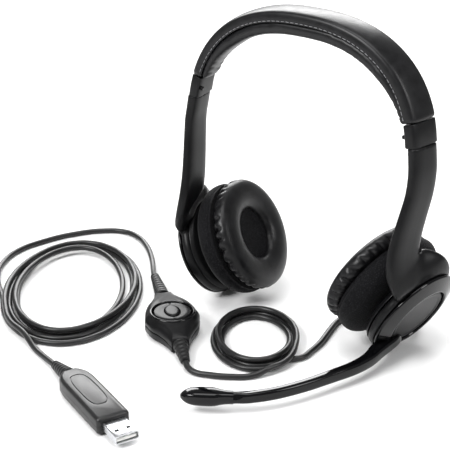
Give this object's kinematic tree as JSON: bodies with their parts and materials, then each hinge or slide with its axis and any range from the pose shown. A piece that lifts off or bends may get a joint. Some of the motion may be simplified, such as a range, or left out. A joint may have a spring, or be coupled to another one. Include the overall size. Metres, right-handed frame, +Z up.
{
  "type": "corded headset",
  "caption": "Over-the-head corded headset with padded band, swivelling ear cups, swinging microphone boom, in-line volume control and rectangular plug.",
  "frame": {"origin": "on the surface the headset stands on, under the middle of the headset with its boom, midway between the two ear cups", "axes": "+Z up; the wearer looks towards -Y; the boom and the cord leave the cup on the +X side"},
  "size_m": [0.2652, 0.1966, 0.1721],
  "materials": {
    "leather": "smooth semi-gloss black imitation leather",
    "satin": "satin black moulded plastic",
    "gloss": "polished black plastic",
    "textile": "black knitted or finely ribbed backing",
    "rubber": "soft black cord jacket and overmould",
    "steel": "bright stamped steel",
    "board": "green circuit board",
    "insulator": "white plastic insulator"
  },
  "bodies": {
    "right_earpiece": {"right_arm": "satin", "right_slide_tongue": "steel", "right_housing_back": "satin", "right_cap_disc": "satin", "cord_relief": "rubber", "cord_run_headset": "rubber", "cord_small_coil": "rubber", "cord_run_middle": "rubber", "cord_run_upper": "rubber", "cord_big_coil": "rubber", "cord_run_plug": "rubber", "control_bottom_shell": "satin", "control_screw_front": "steel", "control_screw_back": "steel", "control_top_shell": "satin", "control_board": "board", "control_lower_relief": "rubber", "control_upper_relief": "rubber", "plug_body": "rubber", "plug_relief": "rubber", "usb_shell": "steel", "usb_tongue": "insulator"},
    "headband": {"headband_cover": "leather", "headband_pad": "leather", "headband_core": "satin", "headband_spring": "steel", "right_end_cap": "satin", "right_detent_leaf": "steel", "right_end_cap_screw": "steel", "left_end_cap": "satin", "left_detent_leaf": "steel", "left_end_cap_screw": "steel"},
    "left_earpiece": {"left_arm": "satin", "left_slide_tongue": "steel", "left_housing_back": "satin", "left_cap_disc": "satin", "left_trim_ring": "gloss"},
    "boom": {"boom_ring": "gloss", "boom_arm": "gloss", "mic_housing": "gloss", "mic_capsule": "steel"},
    "volume_rocker": {"volume_rocker": "satin"},
    "mute_button": {"mute_button": "gloss"},
    "right_swivel": {"right_swivel_ball": "steel"},
    "right_cup": {"right_cup_back": "textile", "right_baffle": "satin", "right_speaker_driver": "steel", "right_speaker_cone": "gloss", "right_grille_cloth": "textile", "right_ear_cushion": "leather"},
    "left_swivel": {"left_swivel_ball": "steel"},
    "left_cup": {"left_cup_back": "textile", "left_baffle": "satin", "left_speaker_driver": "steel", "left_speaker_cone": "gloss", "left_grille_cloth": "textile", "left_ear_cushion": "leather"}
  },
  "joints": [
    {"name": "right_arm_slide", "type": "slide", "parent": "right_earpiece", "child": "headband", "axis": [-0.2835, 0.0574, 0.9572], "range_m": [0, 0.02]},
    {"name": "left_arm_slide", "type": "slide", "parent": "headband", "child": "left_earpiece", "axis": [-0.2835, -0.0574, -0.9572], "range_m": [0, 0.02]},
    {"name": "right_cup_swivel", "type": "hinge", "parent": "right_earpiece", "child": "right_swivel", "pos_m": [0.05384, 0.04274, 0.03039], "axis": [0.4471, -0.0788, 0.891], "range_deg": [-5, 5]},
    {"name": "right_cup_tilt", "type": "hinge", "parent": "right_swivel", "child": "right_cup", "pos_m": [0.05384, 0.04274, 0.03039], "axis": [-0.1736, -0.9848, 0], "range_deg": [-5, 5]},
    {"name": "left_cup_swivel", "type": "hinge", "parent": "left_earpiece", "child": "left_swivel", "pos_m": [-0.05384, 0.04274, 0.03039], "axis": [-0.4471, -0.0788, 0.891], "range_deg": [-5, 5]},
    {"name": "left_cup_tilt", "type": "hinge", "parent": "left_swivel", "child": "left_cup", "pos_m": [-0.05384, 0.04274, 0.03039], "axis": [-0.1736, 0.9848, 0], "range_deg": [-5, 5]},
    {"name": "boom_swing", "type": "hinge", "parent": "right_earpiece", "child": "boom", "pos_m": [0.0677, 0.0403, 0.02321], "axis": [-0.8775, 0.1547, 0.454], "range_deg": [0, 105]},
    {"name": "volume_rocker_tilt", "type": "hinge", "parent": "right_earpiece", "child": "volume_rocker", "pos_m": [-0.0474, -0.0157, 0.011], "axis": [0.66, 0.7513, 0], "range_deg": [-3, 3], "stiffness_Nm_per_rad": 0.05},
    {"name": "mute_button_press", "type": "slide", "parent": "right_earpiece", "child": "mute_button", "axis": [0, 0, -1], "range_m": [0, 0.0008], "stiffness_N_per_m": 400}
  ]
}
